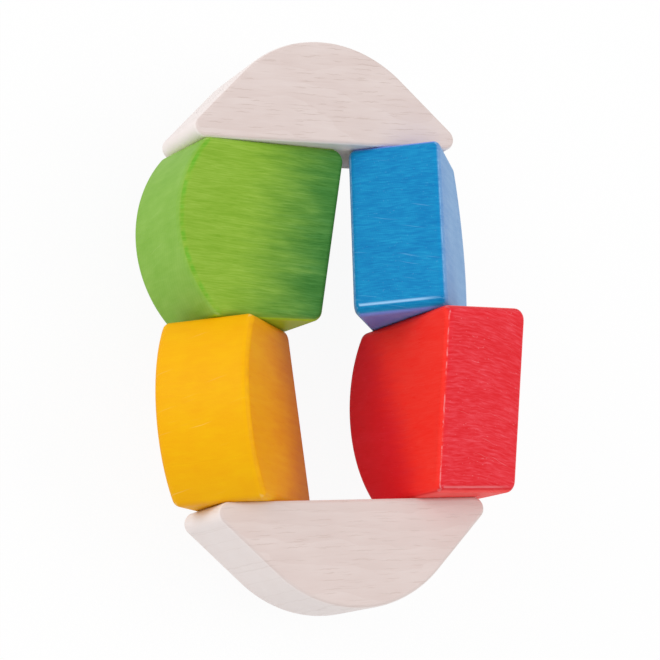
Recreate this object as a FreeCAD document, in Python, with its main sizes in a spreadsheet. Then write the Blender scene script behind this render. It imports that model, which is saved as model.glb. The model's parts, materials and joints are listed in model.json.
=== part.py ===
"""Twisty snake puzzle: six wooden blocks strung on one elastic cord, as a parametric document.

Row frame, in millimetres: X runs across the toy, Y along it from the bottom end block to the
top end block, and Z out of its front face. The origin is the middle of the bottom end block's
flat back face. The cord's two straight runs are the axes that the four coloured blocks turn on.
"""
import FreeCAD, Part
import Sketcher
import math
import os

DOCUMENT_NAME = "TwistySnakePuzzle"
SHEET = "Sizes"

# alias, value (millimetres or degrees), meaning
SIZES = [
    ("block_height", 44.0, "height of a coloured block along the cord"),
    ("block_depth", 34.7, "slanted side to the ends of the round side, at mid-height"),
    ("round_bulge", 9.3, "how far the round side stands out between its ends"),
    ("thickness", 23.0, "thickness of all six blocks"),
    ("column_spacing", 52.4, "between the cord's two straight runs"),
    ("wide_top_inset", 26.6, "cord to the slanted side at mid-height, blocks wide at the top"),
    ("wide_bottom_inset", 22.1, "cord to the slanted side at mid-height, blocks wide at the bottom"),
    ("slant_angle", 13.6, "lean of the slanted side"),
    ("end_height", 26.1, "height of an end block"),
    ("flank_angle", 44.1, "slope of an end block's straight flanks"),
    ("block_corner", 3.0, "corner radius of a coloured block's outline"),
    ("end_corner", 2.8, "corner radius of an end block's two tips"),
    ("block_edge", 1.8, "rounding of a coloured block's long edges"),
    ("end_edge", 1.0, "rounding of an end block's long edges"),
    ("cord_diameter", 2.5, "elastic cord"),
    ("cord_hole", 4.0, "drilled holes that the cord runs in"),
    ("mouth_chamfer", 0.5, "broken edge at a hole's mouth"),
    ("cord_bend", 4.0, "radius of the cord's two bends in the bottom end block"),
    ("channel_depth", 7.6, "cross channel below the bottom end block's inner face"),
    ("channel_bore", 4.6, "diameter of the cross channel"),
    ("channel_plug", 5.6, "diameter of the plug that closes the cross channel"),
    ("knot_diameter", 6.2, "knot at each end of the cord"),
    ("knot_length", 4.5, "length of a knot along the cord"),
    ("pocket_diameter", 7.0, "pocket and plug over each knot"),
    ("pocket_floor", 3.5, "wood left under a knot"),
    ("cord_tail", 1.0, "cord left past each knot"),
    ("plug_clearance", 0.1, "radial fit of the glued plugs"),
    ("seat_gap", 0.3, "clearance of a knot over its seat and of a cord end under its plug"),
    ("green_angle", 8.1, "rest turn of the green block from the nested pose"),
    ("yellow_angle", 49.5, "rest turn of the yellow block"),
    ("blue_angle", 54.7, "rest turn of the blue block"),
    ("red_angle", 96.0, "rest turn of the red block"),
]

# lines that several expressions share
HALF_SPACING = f"{SHEET}.column_spacing / 2"
CORD_PLANE = f"{SHEET}.thickness / 2"
LOWER_BASE = f"{SHEET}.end_height / 2"
MIDDLE = f"({LOWER_BASE} + {SHEET}.block_height)"
UPPER_BASE = f"({LOWER_BASE} + 2 * {SHEET}.block_height)"
ROUND_RADIUS = (f"({SHEET}.block_height ^ 2 / 4 + {SHEET}.round_bulge ^ 2)"
                f" / (2 * {SHEET}.round_bulge)")
SLANT_RUN = f"{SHEET}.block_height / 2 * tan({SHEET}.slant_angle * 1 deg)"
# a knot sits in the mouth of its bore, just clear of the rim
KNOT_CENTRE = (f"({SHEET}.pocket_floor + {SHEET}.seat_gap + {SHEET}.knot_length / 2"
               f" * sqrt(1 - ({SHEET}.cord_hole / {SHEET}.knot_diameter) ^ 2))")
CORD_END = f"({KNOT_CENTRE} + {SHEET}.knot_length / 2 + {SHEET}.cord_tail)"
PLUG_SEAT = f"({CORD_END} + {SHEET}.seat_gap)"
CHANNEL_END = f"({HALF_SPACING} + {SHEET}.channel_bore / 2)"

# name, column (-1 left, 1 right), row (-1 lower, 1 upper), wide end (1 top, -1 bottom)
BLOCKS = [
    ("green", -1, 1, 1),
    ("yellow", -1, -1, -1),
    ("blue", 1, 1, -1),
    ("red", 1, -1, 1),
]

# the two drillings keep a pair of neighbours clear of each other while either one turns
INSETS = {1: "wide_top_inset", -1: "wide_bottom_inset"}

# Sketcher's numbers for a curve's points, and for a sketch's own axes and origin
START, END, CENTRE = range(1, 4)
AXES = dict(zip("XY", range(-1, -3, -1)))
ORIGIN = (AXES["X"], START)
EPSILON = 1e-6


def size(alias):
    """The plain value of a driving size."""
    return next(value for name, value, _ in SIZES if name == alias)


def make_sheet(doc):
    """The spreadsheet that holds the driving sizes, one row each."""
    sheet = doc.addObject("Spreadsheet::Sheet", SHEET)
    for row, (alias, value, meaning) in enumerate(SIZES, start=1):
        sheet.set(f"A{row}", meaning)
        sheet.set(f"B{row}", str(value))
        sheet.setAlias(f"B{row}", alias)
    doc.recompute()
    return sheet


def origin_plane(body, role):
    """One of a body's own origin planes."""
    return next(f for f in body.Origin.OriginFeatures if f.Role == role)


def new_sketch(body, name, role):
    """An empty sketch on one of its body's origin planes."""
    sketch = body.newObject("Sketcher::SketchObject", name)
    sketch.AttachmentSupport = [(origin_plane(body, role), "")]
    sketch.MapMode = "FlatFace"
    return sketch


def bind(item, path, expression):
    """Ties one property of an object to the sheet."""
    item.setExpression(path, expression)


def place(item, x="0", y="0", z="0"):
    """Puts an object where three expressions say."""
    for axis, expression in zip("xyz", (x, y, z)):
        bind(item, f"Placement.Base.{axis}", expression)


def constrain(sketch, kind, *where):
    """A geometric constraint."""
    sketch.addConstraint(Sketcher.Constraint(kind, *where))


def dimension(sketch, kind, *where, value, name, expression):
    """A named dimension, tied to the sheet."""
    index = sketch.addConstraint(Sketcher.Constraint(kind, *where, value))
    sketch.renameConstraint(index, name)
    sketch.setExpression(f"Constraints.{name}", expression)


def edge_names(shape, wanted):
    """Names of the edges that a test picks."""
    return [f"Edge{i}" for i, edge in enumerate(shape.Edges, start=1) if wanted(edge)]


def runs_through(edge):
    """True for an edge that runs straight through the thickness."""
    ends = [vertex.Point for vertex in edge.Vertexes]
    if len(ends) != 2:
        return False
    return math.hypot(ends[0].x - ends[1].x, ends[0].y - ends[1].y) < EPSILON


def on_a_face_of(half):
    """A test for edges that lie in the front or back face."""
    def test(edge):
        box = edge.BoundBox
        return box.ZLength < EPSILON and abs(abs(box.ZMin) - half) < EPSILON
    return test


def dress(body, name, kind, source, edges, path, expression):
    """A fillet or chamfer on named edges of a feature."""
    feature = body.newObject(f"PartDesign::{kind}", name)
    feature.Base = (source, edges)
    bind(feature, path, expression)
    return feature


def round_outline(doc, body, name, pad, kind):
    """Rounds the outline's corners, then the long edges of both faces."""
    corners = dress(body, f"{name}_corners", "Fillet", pad,
                    edge_names(pad.Shape, runs_through), "Radius", f"{SHEET}.{kind}_corner")
    doc.recompute()
    edges = dress(body, f"{name}_edges", "Fillet", corners,
                  edge_names(corners.Shape, on_a_face_of(size("thickness") / 2)),
                  "Radius", f"{SHEET}.{kind}_edge")
    doc.recompute()
    return edges


def block_outline(body, name, wide_end):
    """Outline of a coloured block, with the cord at the sketch's origin."""
    half = size("block_height") / 2
    run = half * math.tan(math.radians(size("slant_angle")))
    inset = INSETS[wide_end]
    rim = size("block_depth") - size(inset)
    radius = (half ** 2 + size("round_bulge") ** 2) / (2 * size("round_bulge"))
    centre = FreeCAD.Vector(rim + size("round_bulge") - radius, 0, 0)
    opening = math.asin(half / radius)
    top_slant = FreeCAD.Vector(-size(inset) - wide_end * run, half, 0)
    low_slant = FreeCAD.Vector(-size(inset) + wide_end * run, -half, 0)
    top_rim = FreeCAD.Vector(rim, half, 0)
    low_rim = FreeCAD.Vector(rim, -half, 0)

    sketch = new_sketch(body, f"{name}_outline", "XY_Plane")
    base = sketch.addGeometry(Part.LineSegment(low_slant, low_rim))
    arc = sketch.addGeometry(
        Part.ArcOfCircle(Part.Circle(centre, FreeCAD.Vector(0, 0, 1), radius), -opening, opening))
    top = sketch.addGeometry(Part.LineSegment(top_rim, top_slant))
    slant = sketch.addGeometry(Part.LineSegment(top_slant, low_slant))
    constrain(sketch, "Coincident", base, END, arc, START)
    constrain(sketch, "Coincident", arc, END, top, START)
    constrain(sketch, "Coincident", top, END, slant, START)
    constrain(sketch, "Coincident", slant, END, base, START)
    constrain(sketch, "Horizontal", base)
    constrain(sketch, "Horizontal", top)
    constrain(sketch, "Symmetric", arc, START, arc, END, AXES["X"])
    dimension(sketch, "DistanceY", arc, START, arc, END, value=2 * half,
              name="height", expression=f"{SHEET}.block_height")
    dimension(sketch, "DistanceX", *ORIGIN, arc, END, value=rim,
              name="rim", expression=f"{SHEET}.block_depth - {SHEET}.{inset}")
    dimension(sketch, "Radius", arc, value=radius, name="round", expression=ROUND_RADIUS)
    dimension(sketch, "DistanceX", top, END, *ORIGIN, value=-top_slant.x, name="top_slant",
              expression=f"{SHEET}.{inset} + {wide_end} * {SLANT_RUN}")
    dimension(sketch, "DistanceX", base, START, *ORIGIN, value=-low_slant.x, name="low_slant",
              expression=f"{SHEET}.{inset} - {wide_end} * {SLANT_RUN}")
    return sketch


def through_pad(doc, body, name, sketch):
    """Pads an outline to the blocks' thickness, half on each side of the cord."""
    pad = body.newObject("PartDesign::Pad", f"{name}_pad")
    pad.Profile = sketch
    pad.Midplane = True
    bind(pad, "Length", f"{SHEET}.thickness")
    doc.recompute()
    return pad


def make_block(doc, colour, column, row, wide_end):
    """A coloured block, turned on its run of the cord to its rest pose."""
    name = f"{colour}_block"
    body = doc.addObject("PartDesign::Body", name)
    body.Label = name
    pad = through_pad(doc, body, name, block_outline(body, name, wide_end))
    round_outline(doc, body, name, pad, "block")

    circle = new_sketch(body, f"{name}_hole_circle", "XZ_Plane")
    ring = circle.addGeometry(
        Part.Circle(FreeCAD.Vector(), FreeCAD.Vector(0, 0, 1), size("cord_hole") / 2))
    constrain(circle, "Coincident", ring, CENTRE, *ORIGIN)
    dimension(circle, "Diameter", ring, value=size("cord_hole"),
              name="bore", expression=f"{SHEET}.cord_hole")
    hole = body.newObject("PartDesign::Pocket", f"{name}_hole")
    hole.Profile = circle
    hole.Type = "ThroughAll"
    hole.Midplane = True
    doc.recompute()

    def is_mouth(edge):
        curve = edge.Curve
        return isinstance(curve, Part.Circle) and abs(curve.Radius - size("cord_hole") / 2) < EPSILON

    dress(body, f"{name}_mouths", "Chamfer", hole, edge_names(hole.Shape, is_mouth),
          "Size", f"{SHEET}.mouth_chamfer")

    nested = 180 if column < 0 else 0
    body.Placement = FreeCAD.Placement(
        FreeCAD.Vector(), FreeCAD.Rotation(FreeCAD.Vector(0, 1, 0), nested + size(f"{colour}_angle")))
    place(body, f"{column} * {HALF_SPACING}",
          f"{MIDDLE} + {row} * {SHEET}.block_height / 2", CORD_PLANE)
    bind(body, "Placement.Rotation.Angle", f"({nested} + {SHEET}.{colour}_angle) * 1 deg")
    return body


def end_outline(body, name):
    """Outline of an end block, base on the X axis and apex up."""
    slope = math.radians(size("flank_angle"))
    radius = ((size("block_height") / 2) ** 2 + size("round_bulge") ** 2) / (2 * size("round_bulge"))
    centre = FreeCAD.Vector(0, size("end_height") - radius, 0)
    turn_x = radius * math.sin(slope)
    turn_y = centre.y + radius * math.cos(slope)
    tip_x = turn_x + turn_y / math.tan(slope)
    left_tip, right_tip = FreeCAD.Vector(-tip_x, 0, 0), FreeCAD.Vector(tip_x, 0, 0)
    left_turn, right_turn = FreeCAD.Vector(-turn_x, turn_y, 0), FreeCAD.Vector(turn_x, turn_y, 0)

    sketch = new_sketch(body, f"{name}_outline", "XY_Plane")
    base = sketch.addGeometry(Part.LineSegment(left_tip, right_tip))
    right = sketch.addGeometry(Part.LineSegment(right_tip, right_turn))
    apex = sketch.addGeometry(
        Part.ArcOfCircle(Part.Circle(centre, FreeCAD.Vector(0, 0, 1), radius),
                         math.pi / 2 - slope, math.pi / 2 + slope))
    left = sketch.addGeometry(Part.LineSegment(left_turn, left_tip))
    constrain(sketch, "Coincident", base, END, right, START)
    constrain(sketch, "Tangent", right, END, apex, START)
    constrain(sketch, "Tangent", apex, END, left, START)
    constrain(sketch, "Coincident", left, END, base, START)
    constrain(sketch, "Symmetric", base, START, base, END, *ORIGIN)
    constrain(sketch, "Horizontal", base)
    constrain(sketch, "PointOnObject", apex, CENTRE, AXES["Y"])
    dimension(sketch, "Radius", apex, value=radius, name="round", expression=ROUND_RADIUS)
    dimension(sketch, "DistanceY", apex, CENTRE, *ORIGIN, value=-centre.y,
              name="drop", expression=f"{ROUND_RADIUS} - {SHEET}.end_height")
    dimension(sketch, "Angle", right, START, base, END, value=slope,
              name="slope", expression=f"{SHEET}.flank_angle * 1 deg")
    return sketch


def make_end_blank(doc, name):
    """An end block before it is drilled."""
    body = doc.addObject("PartDesign::Body", f"{name}_blank")
    pad = through_pad(doc, body, name, end_outline(body, name))
    round_outline(doc, body, name, pad, "end")
    return body


def drill(doc, name, direction, radius, length, x="0", y="0"):
    """A round tool or plug that starts at (x, y) and runs along +X or +Y."""
    tool = doc.addObject("Part::Cylinder", name)
    turn = {"X": (FreeCAD.Vector(0, 1, 0), 90), "Y": (FreeCAD.Vector(1, 0, 0), -90)}[direction]
    tool.Placement = FreeCAD.Placement(FreeCAD.Vector(), FreeCAD.Rotation(*turn))
    bind(tool, "Radius", radius)
    bind(tool, "Height", length)
    place(tool, x, y)
    return tool


def cut(doc, name, blank, tools):
    """A blank with its drillings taken out."""
    drillings = doc.addObject("Part::MultiFuse", f"{name}_drillings")
    drillings.Shapes = tools
    result = doc.addObject("Part::Cut", name)
    result.Base = blank
    result.Tool = drillings
    result.Label = name
    return result


def trim(doc, name, blank, plug):
    """A plug sanded flush with the blank's surface."""
    result = doc.addObject("Part::Common", name)
    result.Base = plug
    result.Tool = blank
    result.Label = name
    return result


def make_top_end(doc):
    """The top end block, with a knot pocket over each run of the cord, and its two plugs."""
    name = "top_end_block"
    blank = make_end_blank(doc, name)
    hole = f"{SHEET}.cord_hole / 2"
    pocket = f"{SHEET}.pocket_diameter / 2"
    height = f"{SHEET}.end_height"
    drillings = []
    pieces = []
    for side, sign in (("left", -1), ("right", 1)):
        x = f"{sign} * {HALF_SPACING}"
        drillings.append(drill(doc, f"{side}_bore", "Y", hole, f"2 * {height}", x, f"-{height}"))
        drillings.append(drill(doc, f"{side}_pocket", "Y", pocket, height, x,
                               f"{SHEET}.pocket_floor"))
        stock = drill(doc, f"{side}_plug_stock", "Y", f"{pocket} - {SHEET}.plug_clearance",
                      height, x, PLUG_SEAT)
        pieces.append(trim(doc, f"{side}_knot_plug", blank, stock))
    pieces.append(cut(doc, name, blank, drillings))
    for piece in pieces:
        place(piece, y=UPPER_BASE, z=CORD_PLANE)
    return pieces


def make_bottom_end(doc):
    """The bottom end block, cross-drilled for the cord, and the plug in its right flank."""
    name = "bottom_end_block"
    blank = make_end_blank(doc, name)
    depth = f"{SHEET}.channel_depth"
    drillings = []
    for side, sign in (("left", -1), ("right", 1)):
        drillings.append(drill(doc, f"{side}_shaft", "Y", f"{SHEET}.cord_hole / 2",
                               f"2 * {depth}", f"{sign} * {HALF_SPACING}", f"-{depth}"))
    drillings.append(drill(doc, "cross_channel", "X", f"{SHEET}.channel_bore / 2",
                           f"2 * {CHANNEL_END}", f"-{CHANNEL_END}", depth))
    drillings.append(drill(doc, "channel_mouth", "X", f"{SHEET}.channel_plug / 2",
                           f"{SHEET}.column_spacing", CHANNEL_END, depth))
    stock = drill(doc, "channel_plug_stock", "X",
                  f"{SHEET}.channel_plug / 2 - {SHEET}.plug_clearance",
                  f"{SHEET}.column_spacing", CHANNEL_END, depth)
    pieces = [trim(doc, "cross_channel_plug", blank, stock), cut(doc, name, blank, drillings)]
    for piece in pieces:
        piece.Placement = FreeCAD.Placement(
            FreeCAD.Vector(), FreeCAD.Rotation(FreeCAD.Vector(1, 0, 0), 180))
        place(piece, y=LOWER_BASE, z=CORD_PLANE)
    return pieces


def cord_route(body):
    """The cord's line: down the left column, across the bottom end block and up the right."""
    half = size("column_spacing") / 2
    bend = size("cord_bend")
    low = size("end_height") / 2 - size("channel_depth")
    seat = math.sqrt(1 - (size("cord_hole") / size("knot_diameter")) ** 2)
    high = (size("end_height") / 2 + 2 * size("block_height") + size("pocket_floor")
            + size("seat_gap") + size("knot_length") / 2 * (1 + seat) + size("cord_tail"))

    def arc(x, start):
        circle = Part.Circle(FreeCAD.Vector(x, low + bend, 0), FreeCAD.Vector(0, 0, 1), bend)
        return Part.ArcOfCircle(circle, start, start + math.pi / 2)

    sketch = new_sketch(body, "cord_route", "XY_Plane")
    left = sketch.addGeometry(Part.LineSegment(
        FreeCAD.Vector(-half, high, 0), FreeCAD.Vector(-half, low + bend, 0)))
    left_arc = sketch.addGeometry(arc(bend - half, math.pi))
    across = sketch.addGeometry(Part.LineSegment(
        FreeCAD.Vector(bend - half, low, 0), FreeCAD.Vector(half - bend, low, 0)))
    right_arc = sketch.addGeometry(arc(half - bend, -math.pi / 2))
    right = sketch.addGeometry(Part.LineSegment(
        FreeCAD.Vector(half, low + bend, 0), FreeCAD.Vector(half, high, 0)))
    constrain(sketch, "Tangent", left, END, left_arc, START)
    constrain(sketch, "Tangent", left_arc, END, across, START)
    constrain(sketch, "Tangent", across, END, right_arc, START)
    constrain(sketch, "Tangent", right_arc, END, right, START)
    constrain(sketch, "Equal", left_arc, right_arc)
    constrain(sketch, "Vertical", left)
    constrain(sketch, "Vertical", right)
    constrain(sketch, "Symmetric", left, START, right, END, AXES["Y"])
    dimension(sketch, "Radius", left_arc, value=bend, name="bend",
              expression=f"{SHEET}.cord_bend")
    dimension(sketch, "DistanceX", left, START, right, END, value=2 * half,
              name="spacing", expression=f"{SHEET}.column_spacing")
    dimension(sketch, "DistanceY", *ORIGIN, across, START, value=low,
              name="low", expression=f"{LOWER_BASE} - {SHEET}.channel_depth")
    dimension(sketch, "DistanceY", *ORIGIN, right, END, value=high,
              name="high", expression=f"{UPPER_BASE} + {CORD_END}")
    return sketch


def make_cord(doc):
    """The elastic cord, whole, with the knot at each of its ends."""
    body = doc.addObject("PartDesign::Body", "cord_run")
    route = cord_route(body)
    section = new_sketch(body, "cord_section", "XZ_Plane")
    ring = section.addGeometry(Part.Circle(
        FreeCAD.Vector(-size("column_spacing") / 2, 0, 0), FreeCAD.Vector(0, 0, 1),
        size("cord_diameter") / 2))
    constrain(section, "PointOnObject", ring, CENTRE, AXES["X"])
    dimension(section, "DistanceX", ring, CENTRE, *ORIGIN, value=size("column_spacing") / 2,
              name="column", expression=HALF_SPACING)
    dimension(section, "Diameter", ring, value=size("cord_diameter"),
              name="cord", expression=f"{SHEET}.cord_diameter")
    bind(section, "AttachmentOffset.Base.z", f"-({UPPER_BASE} + {CORD_END})")
    doc.recompute()
    pipe = body.newObject("PartDesign::AdditivePipe", "cord_pipe")
    pipe.Profile = section
    pipe.Spine = (route, [])
    doc.recompute()

    knots = []
    for side, sign in (("left", -1), ("right", 1)):
        knot = doc.addObject("Part::Ellipsoid", f"{side}_knot")
        knot.Placement = FreeCAD.Placement(
            FreeCAD.Vector(), FreeCAD.Rotation(FreeCAD.Vector(1, 0, 0), -90))
        bind(knot, "Radius1", f"{SHEET}.knot_length / 2")
        bind(knot, "Radius2", f"{SHEET}.knot_diameter / 2")
        place(knot, f"{sign} * {HALF_SPACING}", f"{UPPER_BASE} + {KNOT_CENTRE}")
        knots.append(knot)
    cord = doc.addObject("Part::MultiFuse", "elastic_cord")
    cord.Shapes = [body] + knots
    cord.Label = "elastic_cord"
    place(cord, z=CORD_PLANE)
    return cord


def failures(doc, pieces):
    """What went wrong, if anything did."""
    found = [f"{item.Name}: {item.State}" for item in doc.Objects
             if {"Invalid", "Error"} & set(item.State)]
    for piece in pieces:
        shape = piece.Shape
        if shape.isNull() or not shape.isValid() or len(shape.Solids) != 1:
            found.append(f"{piece.Label}: not one valid solid")
    return found


def main():
    """Builds the document and writes one STEP file per piece."""
    doc = FreeCAD.newDocument(DOCUMENT_NAME)
    make_sheet(doc)
    pieces = [make_block(doc, *block) for block in BLOCKS]
    pieces += make_top_end(doc)
    pieces += make_bottom_end(doc)
    pieces.append(make_cord(doc))
    doc.recompute()
    found = failures(doc, pieces)
    if found:
        raise RuntimeError("; ".join(found))
    os.makedirs("parts", exist_ok=True)
    for piece in pieces:
        piece.Shape.exportStep(f"parts/{piece.Label}.step")
        box = piece.Shape.BoundBox
        print(f"{piece.Label}: {piece.Shape.Volume:.1f} mm3, x {box.XMin:.1f} {box.XMax:.1f},"
              f" y {box.YMin:.1f} {box.YMax:.1f}, z {box.ZMin:.1f} {box.ZMax:.1f}")


main()
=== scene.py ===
"""Looks of the twisty snake puzzle: stained beech, elastic cord, light, floor and camera."""
import json
import math

import bpy
import numpy as np
from mathutils import Matrix, Vector


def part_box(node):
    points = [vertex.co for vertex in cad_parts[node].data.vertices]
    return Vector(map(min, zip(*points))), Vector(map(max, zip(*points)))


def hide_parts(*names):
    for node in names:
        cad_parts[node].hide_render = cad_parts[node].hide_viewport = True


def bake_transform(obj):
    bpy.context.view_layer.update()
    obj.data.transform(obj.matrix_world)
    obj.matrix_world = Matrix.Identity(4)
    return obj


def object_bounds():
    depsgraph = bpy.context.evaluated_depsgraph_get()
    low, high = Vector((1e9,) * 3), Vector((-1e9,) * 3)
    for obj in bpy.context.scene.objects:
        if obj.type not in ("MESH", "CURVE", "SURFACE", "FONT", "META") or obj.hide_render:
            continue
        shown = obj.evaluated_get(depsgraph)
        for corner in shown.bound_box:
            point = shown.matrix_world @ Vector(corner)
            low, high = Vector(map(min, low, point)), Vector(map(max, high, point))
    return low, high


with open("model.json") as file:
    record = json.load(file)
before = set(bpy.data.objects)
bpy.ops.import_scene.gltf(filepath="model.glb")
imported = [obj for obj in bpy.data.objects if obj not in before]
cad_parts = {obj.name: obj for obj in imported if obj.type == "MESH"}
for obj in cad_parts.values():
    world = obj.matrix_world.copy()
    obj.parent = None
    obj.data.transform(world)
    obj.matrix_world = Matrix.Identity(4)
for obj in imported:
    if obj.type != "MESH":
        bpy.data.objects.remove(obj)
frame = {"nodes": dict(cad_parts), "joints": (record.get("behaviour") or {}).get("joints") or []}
cad_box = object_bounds()
MM = 0.001
# the row frame's axes: across the toy, along it, and out of its front, which faces up
X, Y, Z = Vector((1, 0, 0)), Vector((0, 1, 0)), Vector((0, 0, 1))

# the camera, about the middle of the toy: angles in degrees, lengths in metres, lens in millimetres
CAMERA_YAW = 25.84
CAMERA_PITCH = -10.24
CAMERA_ROLL = 4.08
CAMERA_RIGHT = 0.00198
CAMERA_UP = -0.00061
CAMERA_BACK = 0.56103
CAMERA_LENS = 123.92


# ---------------------------------------------------------------- places

def middle_of(*nodes):
    """Middle of the box round several CAD nodes."""
    corners = [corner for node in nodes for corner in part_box(node)]
    low = Vector(map(min, *corners))
    high = Vector(map(max, *corners))
    return (low + high) / 2


def middle_of_toy():
    """Middle of the box round the two end blocks, which the camera and the lights are placed from."""
    return middle_of("top_end_block", "bottom_end_block")


def joint_place(child):
    """A point on the axis that a body turns on."""
    return Vector(next(joint["pos_m"] for joint in frame["joints"] if joint["child"] == child))


def camera_turn():
    """The camera's rotation in the row frame."""
    return (Matrix.Rotation(math.radians(CAMERA_ROLL), 3, "Z")
            @ Matrix.Rotation(math.radians(CAMERA_PITCH), 3, "X")
            @ Matrix.Rotation(math.radians(CAMERA_YAW), 3, "Y")).transposed()


def make_camera():
    """The camera, which looks at the toy's front, a little from its left and its bottom end."""
    turn = camera_turn()
    camera = bpy.data.objects.new("camera", bpy.data.cameras.new("camera"))
    bpy.context.scene.collection.objects.link(camera)
    camera.data.lens = CAMERA_LENS
    place = middle_of_toy() + turn @ Vector((CAMERA_RIGHT, CAMERA_UP, CAMERA_BACK))
    camera.matrix_world = Matrix.Translation(place) @ turn.to_4x4()
    bpy.context.scene.camera = camera


def own_axes(node):
    """A coloured block's middle on the cord, its own axes, and where its slanted side faces.

    The axes are read from its flat sides: the grain runs from the slanted side to the round side,
    the cord along Y, and the last axis through the thickness.
    """
    mesh = frame["nodes"][node].data
    count = len(mesh.polygons)
    normals = np.empty(count * 3)
    mesh.polygons.foreach_get("normal", normals)
    areas = np.empty(count)
    mesh.polygons.foreach_get("area", areas)
    directions, which = np.unique(normals.reshape(-1, 3).round(3), axis=0, return_inverse=True)
    faced = np.bincount(which.ravel(), areas)

    def largest(allowed):
        """The direction that most of the allowed area faces."""
        return directions[np.where(allowed, faced, 0).argmax()]

    # of the sides that the cord doesn't pass, the D-shaped ones are largest, and the slanted side is
    # the largest that stands across those
    beside_cord = abs(directions[:, 1]) < 0.5
    through = largest(beside_cord)
    crossing = abs(directions @ through) < 0.3
    slanted = Vector(largest(beside_cord & crossing))
    grain = Vector((-slanted.x, 0, -slanted.z)).normalized()
    low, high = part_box(node)
    middle = joint_place(node)
    middle.y = (low.y + high.y) / 2
    return middle, (grain, Y, grain.cross(Y)), slanted


# ---------------------------------------------------------------- material graph

class Graph:
    """Short calls that add shader nodes to one new material."""

    def __init__(self, name, specular=0.2):
        """A new material with its surface shader."""
        self.material = bpy.data.materials.new(name)
        self.material.use_nodes = True
        self.nodes = self.material.node_tree.nodes
        self.links = self.material.node_tree.links
        self.shader = self.nodes["Principled BSDF"]
        self.shader.inputs["Specular IOR Level"].default_value = specular

    def feed(self, socket, value):
        """A number, a vector, a colour or another node's output into a socket."""
        if isinstance(value, bpy.types.NodeSocket):
            self.links.new(value, socket)
        elif socket.type == "RGBA":
            socket.default_value = (*value, 1)
        else:
            socket.default_value = value

    def add(self, kind, *values, **settings):
        """A node with its settings, and its first inputs in order."""
        node = self.nodes.new(f"ShaderNode{kind}")
        for name, value in settings.items():
            setattr(node, name, value)
        for socket, value in zip(node.inputs, values):
            self.feed(socket, value)
        return node

    def math(self, operation, *values):
        """A number worked out from numbers."""
        return self.add("Math", *values, operation=operation).outputs[0]

    def times(self, *values):
        """The product of several numbers."""
        result = values[0]
        for value in values[1:]:
            result = self.math("MULTIPLY", result, value)
        return result

    def total(self, *values):
        """The sum of several numbers."""
        result = values[0]
        for value in values[1:]:
            result = self.math("ADD", result, value)
        return result

    def vector(self, operation, *values):
        """A vector worked out from vectors."""
        return self.add("VectorMath", *values, operation=operation).outputs[0]

    def measure(self, operation, *values):
        """A number worked out from vectors."""
        return self.add("VectorMath", *values, operation=operation).outputs["Value"]

    def joined(self, x, y, z):
        """A vector from three values."""
        return self.add("CombineXYZ", x, y, z).outputs[0]

    def parts(self, value):
        """A vector's three values."""
        return self.add("SeparateXYZ", value).outputs

    def scaled(self, place, x, y, z):
        """A vector with each of its parts scaled."""
        return self.vector("MULTIPLY", place, Vector((x, y, z)))

    def ramp(self, value, low, high):
        """Smoothly 0 at low and 1 at high; low may be the larger."""
        return self.add("MapRange", value, low, high, interpolation_type="SMOOTHSTEP").outputs[0]

    def band(self, value, low, high, soft):
        """1 between low and high, softly 0 outside."""
        return self.times(self.ramp(value, low - soft, low + soft),
                          self.ramp(value, high + soft, high - soft))

    def swing(self, value, amount):
        """A value from 0 to 1 moved to run from -amount to amount."""
        return self.times(self.math("SUBTRACT", value, 0.5), self.times(amount, 2.0))

    def noise(self, place, detail=2.0, roughness=0.5, output="Fac"):
        """Noise about a half, with features about one unit wide."""
        node = self.add("TexNoise", place)
        node.inputs["Scale"].default_value = 1.0
        node.inputs["Detail"].default_value = detail
        node.inputs["Roughness"].default_value = roughness
        return node.outputs[output]

    def level(self, factor, a, b):
        """Number a at 0, number b at 1, which a Mix node takes as its inputs 2 and 3."""
        node = self.add("Mix", factor)
        self.feed(node.inputs[2], a)
        self.feed(node.inputs[3], b)
        return node.outputs[0]

    def mix(self, factor, a, b):
        """Colour a at 0, colour b at 1, which a Mix node takes as its inputs 6 and 7."""
        node = self.add("Mix", factor, data_type="RGBA")
        self.feed(node.inputs[6], a)
        self.feed(node.inputs[7], b)
        return node.outputs[2]

    def gamma(self, colour, power):
        """A colour to a power: deeper above 1, paler below."""
        return self.add("Gamma", colour, power).outputs[0]

    def bump(self, height, depth_mm):
        """The surface raised by a height from 0 to 1, depth_mm millimetres at most."""
        node = self.add("Bump")
        node.inputs["Distance"].default_value = depth_mm * MM
        self.feed(node.inputs["Height"], height)
        return node.outputs[0]

    def finish(self, colour, roughness, normal):
        """The finished material, from what its surface shader takes."""
        self.feed(self.shader.inputs["Base Color"], colour)
        self.feed(self.shader.inputs["Roughness"], roughness)
        self.feed(self.shader.inputs["Normal"], normal)
        return self.material


# ---------------------------------------------------------------- wood

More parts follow.
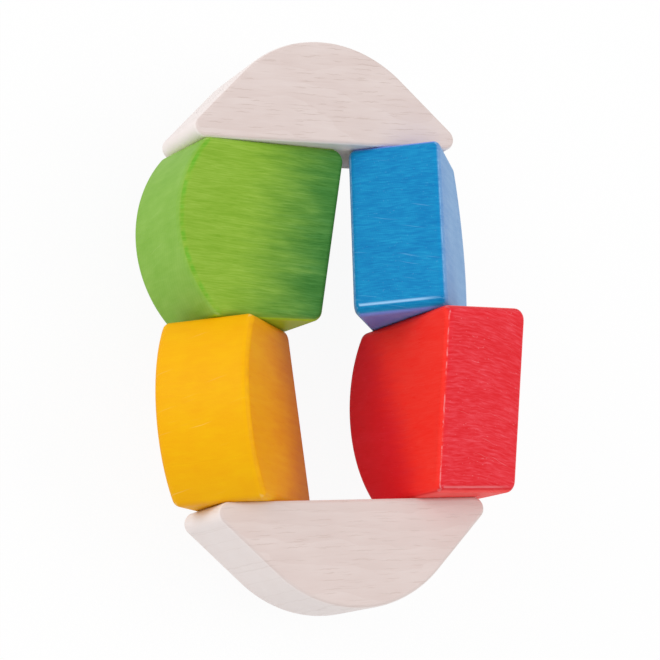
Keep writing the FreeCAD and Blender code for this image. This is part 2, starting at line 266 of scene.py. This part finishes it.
class Wood(Graph):
    """Beech, in millimetres from a given middle, along the grain, the cord and the thickness."""

    # how far apart the wood of two following seeds lies in the noise, so that no two look the same
    SEED_STEP = Vector((37.0, 59.0, 83.0))

    def __init__(self, name, middle, axes, seed, lean=(0.0, 0.0, 0.0), ripple=0.6, specular=0.2):
        """Wood whose fibres lean along the grain and through the piece, curve, and ripple."""
        super().__init__(name, specular)
        self.grain, self.cord, self.through = axes
        inputs = self.add("TexCoord").outputs
        self.normal = inputs["Normal"]
        offset = self.vector("SUBTRACT", inputs["Object"], middle)
        u, v, w = (self.times(self.measure("DOT_PRODUCT", offset, axis), 1 / MM) for axis in axes)
        self.along, self.height, self.across = u, v, w
        lean_along, lean_through, curve = lean
        leaning = self.total(v, self.times(u, lean_along), self.times(w, lean_through),
                             self.times(w, w, curve))
        line = self.vector("ADD", self.joined(u, leaning, w), self.SEED_STEP * seed)
        # the fibres bend slowly over centimetres, and ripple within millimetres
        bend = self.drift(self.scaled(line, 0.012, 0.03, 0.03), reach=3.0)
        waves = self.drift(self.scaled(line, 1 / 14, 1 / 4.5, 1 / 4), reach=ripple)
        self.place = self.vector("ADD", line, self.vector("ADD", bend, waves))
        self.facing_through = self.squareness(self.through)
        # 1 on the two large sides, 0 on the others
        self.flat = self.ramp(self.facing_through, 0.45, 0.85)

    def drift(self, place, reach):
        """A slowly changing offset across the grain, within half of reach either way."""
        colour = self.noise(place, detail=1.0, output="Color")
        shift = self.vector("SUBTRACT", colour, Vector((0.5, 0.5, 0.5)))
        return self.scaled(shift, 0.0, reach, reach)

    def stretched(self, along, cord, through, **settings):
        """Noise with features of these sizes in millimetres."""
        return self.noise(self.scaled(self.place, 1 / along, 1 / cord, 1 / through), **settings)

    def facing(self, axis, low, high):
        """1 where the surface faces along an axis, 0 where it doesn't."""
        return self.ramp(self.measure("DOT_PRODUCT", self.normal, axis), low, high)

    def squareness(self, axis):
        """How squarely the surface faces along an axis, either way."""
        return self.math("ABSOLUTE", self.measure("DOT_PRODUCT", self.normal, axis))

    def fibres(self):
        """Fine streaks along the grain, and across the thickness in end grain."""
        return self.stretched(along=4.5, cord=0.30, through=2.6, detail=3.0, roughness=0.6)

    def figure(self):
        """The coarser, wavy lines of end grain."""
        return self.stretched(along=7.0, cord=0.45, through=3.4, detail=2.0, roughness=0.55)

    def bands(self):
        """Broader soft streaks along the grain."""
        return self.stretched(along=12.0, cord=1.3, through=5.0)

    def blotches(self):
        """Uneven colour over centimetres."""
        return self.stretched(along=11.0, cord=6.0, through=6.0)

    def rings(self, pitch, tilt, curve):
        """Growth rings, as soft saw teeth across the grain."""
        _, v, w = self.parts(self.place)
        across = self.total(self.times(v, math.cos(tilt)), self.times(w, math.sin(tilt)),
                            self.times(w, w, curve))
        return self.ramp(self.math("FRACT", self.times(across, 1 / pitch)), 0.0, 1.0)

    def dashes(self, apart, cord_apart, length, height):
        """Single short lines along the grain, each of its own length and depth."""
        waver = self.swing(self.stretched(along=1.8, cord=1.2, through=9.0), 0.35)
        place = self.vector("ADD", self.place, self.joined(0.0, waver, 0.0))
        cells = self.scaled(place, 1 / apart, 1 / cord_apart, 0.0)
        nearest = self.add("TexVoronoi", cells, voronoi_dimensions="2D")
        nearest.inputs["Scale"].default_value = 1.0
        depth, shrink, _ = self.parts(nearest.outputs["Color"])
        away = self.scaled(self.vector("SUBTRACT", cells, nearest.outputs["Position"]),
                           2 * apart / length, 2 * cord_apart / height, 0.0)
        away = self.vector("MULTIPLY", away, self.joined(self.total(0.8, shrink), 1.0, 1.0))
        inside = self.ramp(self.measure("LENGTH", away), 1.0, 0.35)
        return self.times(inside, self.ramp(depth, 0.2, 1.0))

    def scratches(self, length, width, spacing, slope):
        """A few long thin marks through the thickness, which slope along the cord."""
        u, v, w = self.parts(self.place)
        sloping = self.total(v, self.times(w, slope))
        place = self.joined(self.times(u, 1 / spacing), self.times(sloping, 1 / width),
                            self.times(w, 1 / length))
        return self.ramp(self.noise(place, detail=1.0), 0.70, 0.80)


# linear colours and settings of the four stained blocks
#   face: the two large D-shaped sides
#   painted_shade: the face in painted shade: it sets in from shade_from to shade_to, millimetres
#       from the cord towards the round side, set back by shade_lean for each millimetre up the cord
#   line: along the round side's edges
#   rim: the round side
#   slant: the flat slanted side
#   ends: the two sides that the cord passes
#   worn_and_highlit: where the stain is rubbed, and the colour of painted highlights on edges and tips
#   lean: how far the fibres fall for each millimetre along the grain and through the block, and
#       how much they curve
#   ripple: the width of their ripple, in millimetres
#   grain, figure: how strongly the wood shows on the D-shaped sides and on the slanted side
#   long_edge, lower_edge: how far these edges of the slanted side are paled by rubbing and a painted
#       highlight
STAINS = {
    "green_block": dict(
        face=(0.240, 0.420, 0.036), painted_shade=(0.052, 0.205, 0.036),
        shade_from=3, shade_to=-27, shade_lean=0.26,
        line=(0.120, 0.400, 0.022), rim=(0.225, 0.435, 0.062), slant=(0.170, 0.380, 0.030),
        ends=(0.330, 0.580, 0.020), worn_and_highlit=(0.420, 0.600, 0.200),
        lean=(-0.05, 0.06, 0.0), ripple=0.7, grain=0.28, figure=0.30,
        long_edge=0.15, lower_edge=0.30),
    "blue_block": dict(
        # the blue D-shaped sides are paled towards lavender as a painted glancing sheen
        face=(0.190, 0.360, 0.610), painted_shade=(0.140, 0.310, 0.600),
        shade_from=0, shade_to=-27, shade_lean=0.0,
        line=(0.090, 0.300, 0.600), rim=(0.050, 0.270, 0.580), slant=(0.004, 0.230, 0.515),
        # the blue ends are tinted violet as a painted reflection of the red block
        ends=(0.185, 0.300, 0.860), worn_and_highlit=(0.320, 0.610, 0.930),
        lean=(-0.05, 0.03, 0.0), ripple=0.32, grain=0.15, figure=0.24,
        long_edge=0.42, lower_edge=0.95),
    "yellow_block": dict(
        face=(0.800, 0.362, 0.004), painted_shade=(0.665, 0.235, 0.004),
        shade_from=10, shade_to=-28, shade_lean=-0.45,
        line=(0.900, 0.430, 0.000), rim=(0.860, 0.420, 0.000), slant=(0.800, 0.340, 0.004),
        ends=(0.850, 0.400, 0.003), worn_and_highlit=(0.900, 0.620, 0.260),
        lean=(-0.05, 0.06, 0.0), ripple=0.6, grain=0.08, figure=0.30,
        long_edge=0.10, lower_edge=0.20),
    "red_block": dict(
        face=(0.950, 0.036, 0.026), painted_shade=(0.770, 0.009, 0.020),
        shade_from=-13, shade_to=3, shade_lean=-0.3,
        line=(0.820, 0.016, 0.016), rim=(0.600, 0.010, 0.016), slant=(0.745, 0.028, 0.040),
        ends=(0.930, 0.080, 0.074), worn_and_highlit=(0.850, 0.330, 0.350),
        lean=(-0.05, 0.18, 0.008), ripple=1.1, grain=0.18, figure=0.46,
        long_edge=0.60, lower_edge=0.40),
}
# what the four share, from 0 to 1: how pale the tips get from rubbing and a painted highlight,
# how pale scratches get, and how strongly the line along the round side's edges shows
TIP_WEAR_AND_HIGHLIGHT = 0.30
SCRATCH_WEAR = 0.24
LINE_STRENGTH = 0.8


class StainedWood(Wood):
    """Water-stained beech on one coloured block."""

    def __init__(self, node, seed):
        """The block's wood, with the places of its kinds of sides."""
        middle, axes, self.slanted = own_axes(node)
        self.tones = STAINS[node]
        super().__init__(node, middle, axes, seed, lean=self.tones["lean"],
                         ripple=self.tones["ripple"], specular=0.1)
        self.facing_cord = self.squareness(self.cord)
        self.at_slant = self.facing(-self.grain, 0.45, 0.8)
        self.at_end = self.ramp(self.facing_cord, 0.74, 0.92)

    def by_side(self, blend, face, rim, slant, ends):
        """A colour or a number of its own for each kind of side."""
        around = blend(self.at_slant, rim, slant)
        return blend(self.flat, blend(self.at_end, around, ends), face)

    def stain(self, blotches):
        """The stain's colour: its own on each kind of side, darkened by painted shade in one zone,
        gathered in a line.
        """
        tones = self.tones
        depth = self.total(self.along, self.times(self.height, tones["shade_lean"]),
                           self.swing(blotches, 4.0), self.swing(self.bands(), 4.0))
        # the large sides darken into painted shade across one zone
        in_painted_shade = self.ramp(depth, tones["shade_from"], tones["shade_to"])
        face = self.mix(in_painted_shade, tones["face"], tones["painted_shade"])
        colour = self.by_side(self.mix, face, tones["rim"], tones["slant"], tones["ends"])
        patchy = self.ramp(self.stretched(along=4.0, cord=3.0, through=3.0, detail=4.0), 0.30, 0.66)
        gathered = self.times(self.band(self.facing_through, 0.70, 0.96, 0.06),
                              self.facing(self.grain, 0.05, 0.20), patchy)
        return self.mix(self.times(gathered, LINE_STRENGTH), colour, tones["line"])

    def soak(self, fibres, flecks, blotches):
        """The power that deepens the stain: more between the fibres, less in the dense late wood."""
        tones = self.tones
        strength = self.by_side(self.level, face=tones["grain"], rim=0.06, slant=0.24, ends=0.2)
        figure = self.swing(self.figure(), -tones["figure"])
        return self.total(1.0, self.times(self.swing(fibres, -1.0), strength),
                          self.swing(self.bands(), -0.08), self.times(figure, self.at_slant),
                          self.swing(self.rings(pitch=2.3, tilt=0.25, curve=0.012), -0.02),
                          self.swing(blotches, -0.12), self.times(flecks, self.flat, 0.08))

    def rubbed_and_highlit_edges(self):
        """Pale lines of rubbed stain and painted highlight: broken along the slanted side's long
        edges, straight along its lower edge.
        """
        square = self.measure("DOT_PRODUCT", self.normal, self.slanted)
        uneven = self.total(square, self.swing(self.stretched(along=1.6, cord=1.1, through=1.6), 0.05))
        broken = self.ramp(self.stretched(along=2.4, cord=1.8, through=2.4, detail=4.0), 0.42, 0.62)
        # both edge lines are partly rubbed stain and partly a painted highlight
        long_edge = self.times(self.band(uneven, 0.66, 0.77, 0.04),
                               self.ramp(self.facing_through, 0.3, 0.5), broken)
        # this line starts near one large side and fades towards the other
        lower_edge = self.times(self.band(square, 0.868, 0.942, 0.032),
                                self.ramp(self.facing_through, 0.3, 0.1),
                                self.facing(-self.cord, -0.1, 0.1),
                                self.ramp(self.across, -11.0, -9.5),
                                self.ramp(self.across, 11.0, 4.0))
        return self.total(self.times(long_edge, self.tones["long_edge"]),
                          self.times(lower_edge, self.tones["lower_edge"]))

    def wear_and_highlights(self):
        """How far the stain is paled: edges and tips by rubbing and painted highlights, pale specks
        and scratches.
        """
        # the tips are rubbed corners with a painted highlight
        tips = self.times(self.ramp(self.facing_cord, 0.60, 0.72),
                          self.ramp(self.squareness(self.grain), 0.15, 0.30),
                          self.ramp(self.facing_through, 0.20, 0.40))
        specks = self.ramp(self.stretched(along=0.7, cord=0.35, through=0.55, detail=0.0), 0.74, 0.86)
        speckled = self.by_side(self.level, face=0.15, rim=0.0, slant=0.5, ends=0.1)
        marks = self.times(self.scratches(length=15, width=0.4, spacing=30, slope=0.2),
                           self.math("SUBTRACT", 1.0, self.flat))
        return self.total(self.rubbed_and_highlit_edges(), self.times(tips, TIP_WEAR_AND_HIGHLIGHT),
                          self.times(specks, speckled, self.tones["figure"]),
                          self.times(marks, SCRATCH_WEAR))


def stained(node, seed):
    """Water-stained beech with its grain showing, thinner where it is rubbed, with painted shade and
    painted highlights.
    """
    wood = StainedWood(node, seed)
    blotches = wood.blotches()
    fibres = wood.fibres()
    flecks = wood.dashes(apart=5.0, cord_apart=1.3, length=3.4, height=0.34)
    colour = wood.gamma(wood.stain(blotches), wood.soak(fibres, flecks, blotches))
    # paled towards the worn colour where rubbed and where highlights are painted
    colour = wood.mix(wood.wear_and_highlights(), colour, wood.tones["worn_and_highlit"])
    roughness = wood.total(0.46, wood.times(fibres, 0.12), wood.times(flecks, 0.06))
    relief = wood.total(wood.times(fibres, 0.7), wood.times(flecks, -0.4))
    return wood.finish(colour, roughness, wood.bump(relief, 0.04))


BARE_FACE = (0.682, 0.575, 0.545)
BARE_SIDE = (0.830, 0.750, 0.730)
FLECK = (0.460, 0.350, 0.300)
# the axes that Wood takes, for grain along the row frame's X and along its Y
GRAIN_ALONG_X = (X, Y, Z)
GRAIN_ALONG_Y = (Y, X, Z)
# each bare piece's axes, its seed, and how strongly its grain and flecks show
BARE_PIECES = {
    "top_end_block": (GRAIN_ALONG_X, 7, 0.9),
    "bottom_end_block": (GRAIN_ALONG_X, 8, 0.6),
    "left_knot_plug": (GRAIN_ALONG_Y, 11, 1.0),
    "right_knot_plug": (GRAIN_ALONG_Y, 12, 1.0),
    "cross_channel_plug": (GRAIN_ALONG_X, 13, 1.0),
}


def bare(node, axes, seed, show):
    """Bare sanded beech with its short dark flecks."""
    wood = Wood(node, middle_of(node), axes, seed)
    fibres = wood.fibres()
    long_flecks = wood.dashes(apart=8.5, cord_apart=1.3, length=10.0, height=0.30)
    short_flecks = wood.dashes(apart=6.0, cord_apart=1.9, length=6.0, height=0.26)
    flecks = wood.math("MAXIMUM", long_flecks, short_flecks)
    soak = wood.total(1.0, wood.swing(fibres, -0.10 * show), wood.swing(wood.bands(), -0.10 * show),
                      wood.swing(wood.rings(pitch=6.5, tilt=0.2, curve=0.01), -0.04),
                      wood.swing(wood.blotches(), -0.10))
    colour = wood.gamma(wood.mix(wood.flat, BARE_SIDE, BARE_FACE), soak)
    shown = wood.times(flecks, wood.level(wood.flat, 0.10, 0.50 * show))
    colour = wood.mix(shown, colour, FLECK)
    roughness = wood.total(0.5, wood.times(fibres, 0.1), wood.times(flecks, 0.05))
    relief = wood.total(wood.times(fibres, 0.6), wood.times(flecks, -0.5))
    return wood.finish(colour, roughness, wood.bump(relief, 0.03))


def paint(node, material):
    """One material for a whole CAD node."""
    mesh = frame["nodes"][node].data
    mesh.materials.clear()
    mesh.materials.append(material)


def make_wood():
    """The six blocks and the three glued plugs."""
    for seed, node in enumerate(STAINS, start=1):
        paint(node, stained(node, seed))
    for node, (axes, seed, show) in BARE_PIECES.items():
        paint(node, bare(node, axes, seed, show))


# ---------------------------------------------------------------- elastic cord

CORD_RADIUS = 1.25 * MM
# how far from each bend's corner the points beside it stand
BEND_REACH = 8.0 * MM
# how many strands of the braid wind each way, and how far along the cord one takes to go round
STRANDS = 4
STRAND_LEAD = 9.2 * MM
# the tube's rings: how far apart they are, how many corners each has, and how far the strands stand
# out, as a share of the radius
CORD_STEP = 0.46 * MM
RING_CORNERS = 24
CORD_RELIEF = 0.035
# how many bits of fuzz lie along a metre of the cord
FUZZ_PER_METRE = 4000

# from the cord's end to the middle of its knot, and the cord as it is pulled tight in the knot
KNOT_DROP = 3.25 * MM
KNOT_CORD_RADIUS = 1.1 * MM
KNOT_STEP = 0.6 * MM
KNOT_RELIEF = 0.05
# the knot's line: how far out it lies, how far it sways in and out, and half its height
KNOT_OUT = 1.3 * MM
KNOT_SWAY = 0.65 * MM
KNOT_RISE = 1.15 * MM
KNOT_POINTS = 73


def route_points():
    """The cord's line, read from a smooth spline: down one column, across and up the other."""
    low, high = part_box("elastic_cord")
    left, right = joint_place("yellow_block"), joint_place("red_block")
    bottom = low.y + CORD_RADIUS
    half = [(left.x, high.y), (left.x, bottom + BEND_REACH), (left.x, bottom),
            (left.x + BEND_REACH, bottom)]
    mirrored = [(left.x + right.x - x, y) for x, y in reversed(half)]
    curve = bpy.data.curves.new("cord_route", "CURVE")
    curve.dimensions = "3D"
    curve.resolution_u = 16
    spline = curve.splines.new("NURBS")
    corners = half + mirrored
    spline.points.add(len(corners) - 1)
    for point, (x, y) in zip(spline.points, corners):
        point.co = (x, y, left.z, 1)
    spline.order_u = 3
    spline.use_endpoint_u = True
    mesh = bpy.data.meshes.new_from_object(bpy.data.objects.new("cord_route", curve))
    return np.array([vertex.co for vertex in mesh.vertices])


def knot_points(middle):
    """A tight knot's line, three lobes round the cord, as large as the CAD knot."""
    turn = np.linspace(0, 2 * math.pi, KNOT_POINTS)
    out = KNOT_OUT + KNOT_SWAY * np.cos(3 * turn)
    rise = KNOT_RISE * np.sin(3 * turn)
    return np.array(middle) + np.stack([out * np.cos(2 * turn), rise, out * np.sin(2 * turn)], 1)


def braided_rings(line, radius, step, relief):
    """Rings of corners along a line, with the strands in relief, and each ring's distance along."""
    lengths = np.concatenate([[0], np.cumsum(np.linalg.norm(np.diff(line, axis=0), axis=1))])
    along = np.linspace(0, lengths[-1], round(lengths[-1] / step) + 1)
    centres = np.stack([np.interp(along, lengths, line[:, axis]) for axis in range(3)], 1)
    tangents = np.gradient(centres, axis=0)
    tangents /= np.linalg.norm(tangents, axis=1)[:, None]
    around = np.linspace(0, 2 * math.pi, RING_CORNERS, endpoint=False)
    cosines, sines = np.cos(around)[:, None], np.sin(around)[:, None]
    rings = []
    # the first ring's side is any direction across the line, and each ring carries it on untwisted
    side = np.cross(tangents[0], (0.3, 0.2, 1.0))
    for centre, tangent, distance in zip(centres, tangents, along):
        side -= tangent * (side @ tangent)
        side /= np.linalg.norm(side)
        other = np.cross(tangent, side)
        turn = 2 * math.pi * STRANDS * distance / STRAND_LEAD
        forward, back = np.cos(STRANDS * around + turn), np.cos(STRANDS * around - turn)
        reach = radius * (1 - relief + relief * np.maximum(forward, back))
        rings.append(centre + reach[:, None] * (cosines * side + sines * other))
    return np.concatenate(rings), along


def add_tube(mesh_data, line, radius, step, relief):
    """Adds one closed-ended tube to lists of corners, faces and places on the braid."""
    corners, faces, places = mesh_data
    rings, along = braided_rings(line, radius, step, relief)
    first = len(corners)
    last = first + RING_CORNERS * (len(along) - 1)
    corners.extend(rings.tolist())
    for row, (start, end) in enumerate(zip(along, along[1:])):
        near = first + row * RING_CORNERS
        far = near + RING_CORNERS
        for column in range(RING_CORNERS):
            following = (column + 1) % RING_CORNERS
            faces.append((near + column, near + following, far + following, far + column))
            left, right = column / RING_CORNERS, (column + 1) / RING_CORNERS
            places.extend(((left, start), (right, start), (right, end), (left, end)))
    columns = range(RING_CORNERS)
    for ring, order in ((first, reversed(columns)), (last, columns)):
        faces.append([ring + column for column in order])
        places.extend([(column / RING_CORNERS, 0.0) for column in columns])


def braid_material():
    """Off-white braided cotton over rubber: eight strands of fine threads, with painted shade in the
    grooves between them.
    """
    braid = Graph("braid")
    braid.shader.inputs["Sheen Weight"].default_value = 0.25
    inputs = braid.add("TexCoord").outputs
    around, along, _ = braid.parts(inputs["UV"])
    across = braid.times(around, 2 * math.pi * STRANDS)
    forward = braid.times(along, 2 * math.pi * STRANDS / STRAND_LEAD)
    falling = braid.total(across, forward)
    rising = braid.math("SUBTRACT", across, forward)
    falling_height, rising_height = braid.math("COSINE", falling), braid.math("COSINE", rising)
    over = braid.math("GREATER_THAN", falling_height, rising_height)
    strand = braid.math("MAXIMUM", falling_height, rising_height)
    thread_turn = braid.times(braid.level(over, falling, rising), 2.5)
    threads = braid.math("ABSOLUTE", braid.math("SINE", thread_turn))
    fuzz = braid.noise(braid.scaled(inputs["Object"], FUZZ_PER_METRE, FUZZ_PER_METRE, FUZZ_PER_METRE))
    height = braid.total(braid.times(strand, 0.5), braid.times(threads, 0.2), braid.times(fuzz, 0.2))
    # painted shade: lighter on the strands' crests and threads, darker in the grooves between them,
    # with fuzz adding random tone
    light = braid.total(strand, braid.times(threads, 0.3), braid.swing(fuzz, 0.3))
    colour = braid.mix(braid.ramp(light, -0.2, 1.1), (0.52, 0.50, 0.45), (0.83, 0.81, 0.76))
    return braid.finish(colour, 0.85, braid.bump(height, 0.12))


def make_cord():
    """The braided cord with a knot at each end."""
    mesh_data = [], [], []
    line = route_points()
    add_tube(mesh_data, line, CORD_RADIUS, CORD_STEP, CORD_RELIEF)
    for end in (line[0], line[-1]):
        knot = knot_points(end - (0, KNOT_DROP, 0))
        add_tube(mesh_data, knot, KNOT_CORD_RADIUS, KNOT_STEP, KNOT_RELIEF)
    corners, faces, places = mesh_data
    mesh = bpy.data.meshes.new("braided_cord")
    mesh.from_pydata(corners, [], faces)
    mesh.uv_layers.new(name="braid").data.foreach_set("uv", np.array(places).ravel())
    mesh.polygons.foreach_set("use_smooth", [True] * len(faces))
    mesh.materials.append(braid_material())
    cord = bpy.data.objects.new("braided_cord", mesh)
    bpy.context.scene.collection.objects.link(cord)
    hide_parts("elastic_cord")
    # it stretches all along the coloured blocks
    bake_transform(cord)


# ---------------------------------------------------------------- light and floor

ROOM_BRIGHTNESS = 0.80
# how far the lights stand from the middle of the toy, in metres
LIGHT_DISTANCE = 0.9
# half the floor's width in metres, its distance below the toy, and how many grains a metre of its
# paper has
FLOOR_REACH = 3.0
FLOOR_GAP = 0.5 * MM
TOOTH_PER_METRE = 900
# how much of the floor the camera sees as plain white light, which leaves a faint shadow
FLOOR_GLOW = 0.93


def area_light(name, toward, width, power):
    """A square soft box that shines on the toy from a direction given in the camera's axes."""
    light = bpy.data.lights.new(name, "AREA")
    light.shape = "SQUARE"
    light.size = width
    light.energy = power
    lamp = bpy.data.objects.new(name, light)
    bpy.context.scene.collection.objects.link(lamp)
    away = (camera_turn() @ Vector(toward)).normalized()
    lamp.location = middle_of_toy() + away * LIGHT_DISTANCE
    lamp.rotation_euler = away.to_track_quat("Z", "Y").to_euler()


def make_lights():
    """A pale studio: an even white room, a key from the upper left, a weaker fill from the right."""
    world = bpy.data.worlds.new("studio")
    bpy.context.scene.world = world
    world.use_nodes = True
    background = world.node_tree.nodes["Background"]
    background.inputs["Strength"].default_value = ROOM_BRIGHTNESS
    background.inputs["Color"].default_value = (1, 1, 1, 1)
    area_light("key", (-0.55, 0.5, 0.75), width=0.6, power=2.6)
    area_light("fill", (0.9, 0.05, 0.45), width=0.5, power=1.8)


def floor_material():
    """Pale paper, near white to the camera and to mirrors but for the toy's shadow."""
    paper = Graph("paper")
    place = paper.add("TexCoord").outputs["Object"]
    tooth = paper.noise(paper.scaled(place, TOOTH_PER_METRE, TOOTH_PER_METRE, TOOTH_PER_METRE))
    colour = paper.mix(tooth, (0.86, 0.86, 0.86), (0.9, 0.9, 0.9))
    paper.finish(colour, 0.9, paper.bump(tooth, 0.05))
    rays = paper.add("LightPath").outputs
    looked_at = paper.total(rays["Is Camera Ray"], rays["Is Glossy Ray"], rays["Is Transmission Ray"])
    seen = paper.math("MINIMUM", 1.0, looked_at)
    glow = paper.add("Emission", (1.0, 1.0, 1.0), 1.0).outputs[0]
    both = paper.add("MixShader", paper.times(seen, FLOOR_GLOW), paper.shader.outputs[0], glow)
    paper.feed(paper.nodes["Material Output"].inputs["Surface"], both.outputs[0])
    return paper.material


def make_floor():
    """A plain pale floor just under the lowest block."""
    mesh = bpy.data.meshes.new("floor")
    reach = FLOOR_REACH
    mesh.from_pydata([(-reach, -reach, 0), (reach, -reach, 0), (reach, reach, 0), (-reach, reach, 0)],
                     [], [(0, 1, 2, 3)])
    mesh.materials.append(floor_material())
    floor = bpy.data.objects.new("floor", mesh)
    bpy.context.scene.collection.objects.link(floor)
    floor.location.z = cad_box[0].z - FLOOR_GAP


make_camera()
make_cord()
make_wood()
make_lights()
make_floor()
bpy.context.scene.view_settings.view_transform = "Standard"
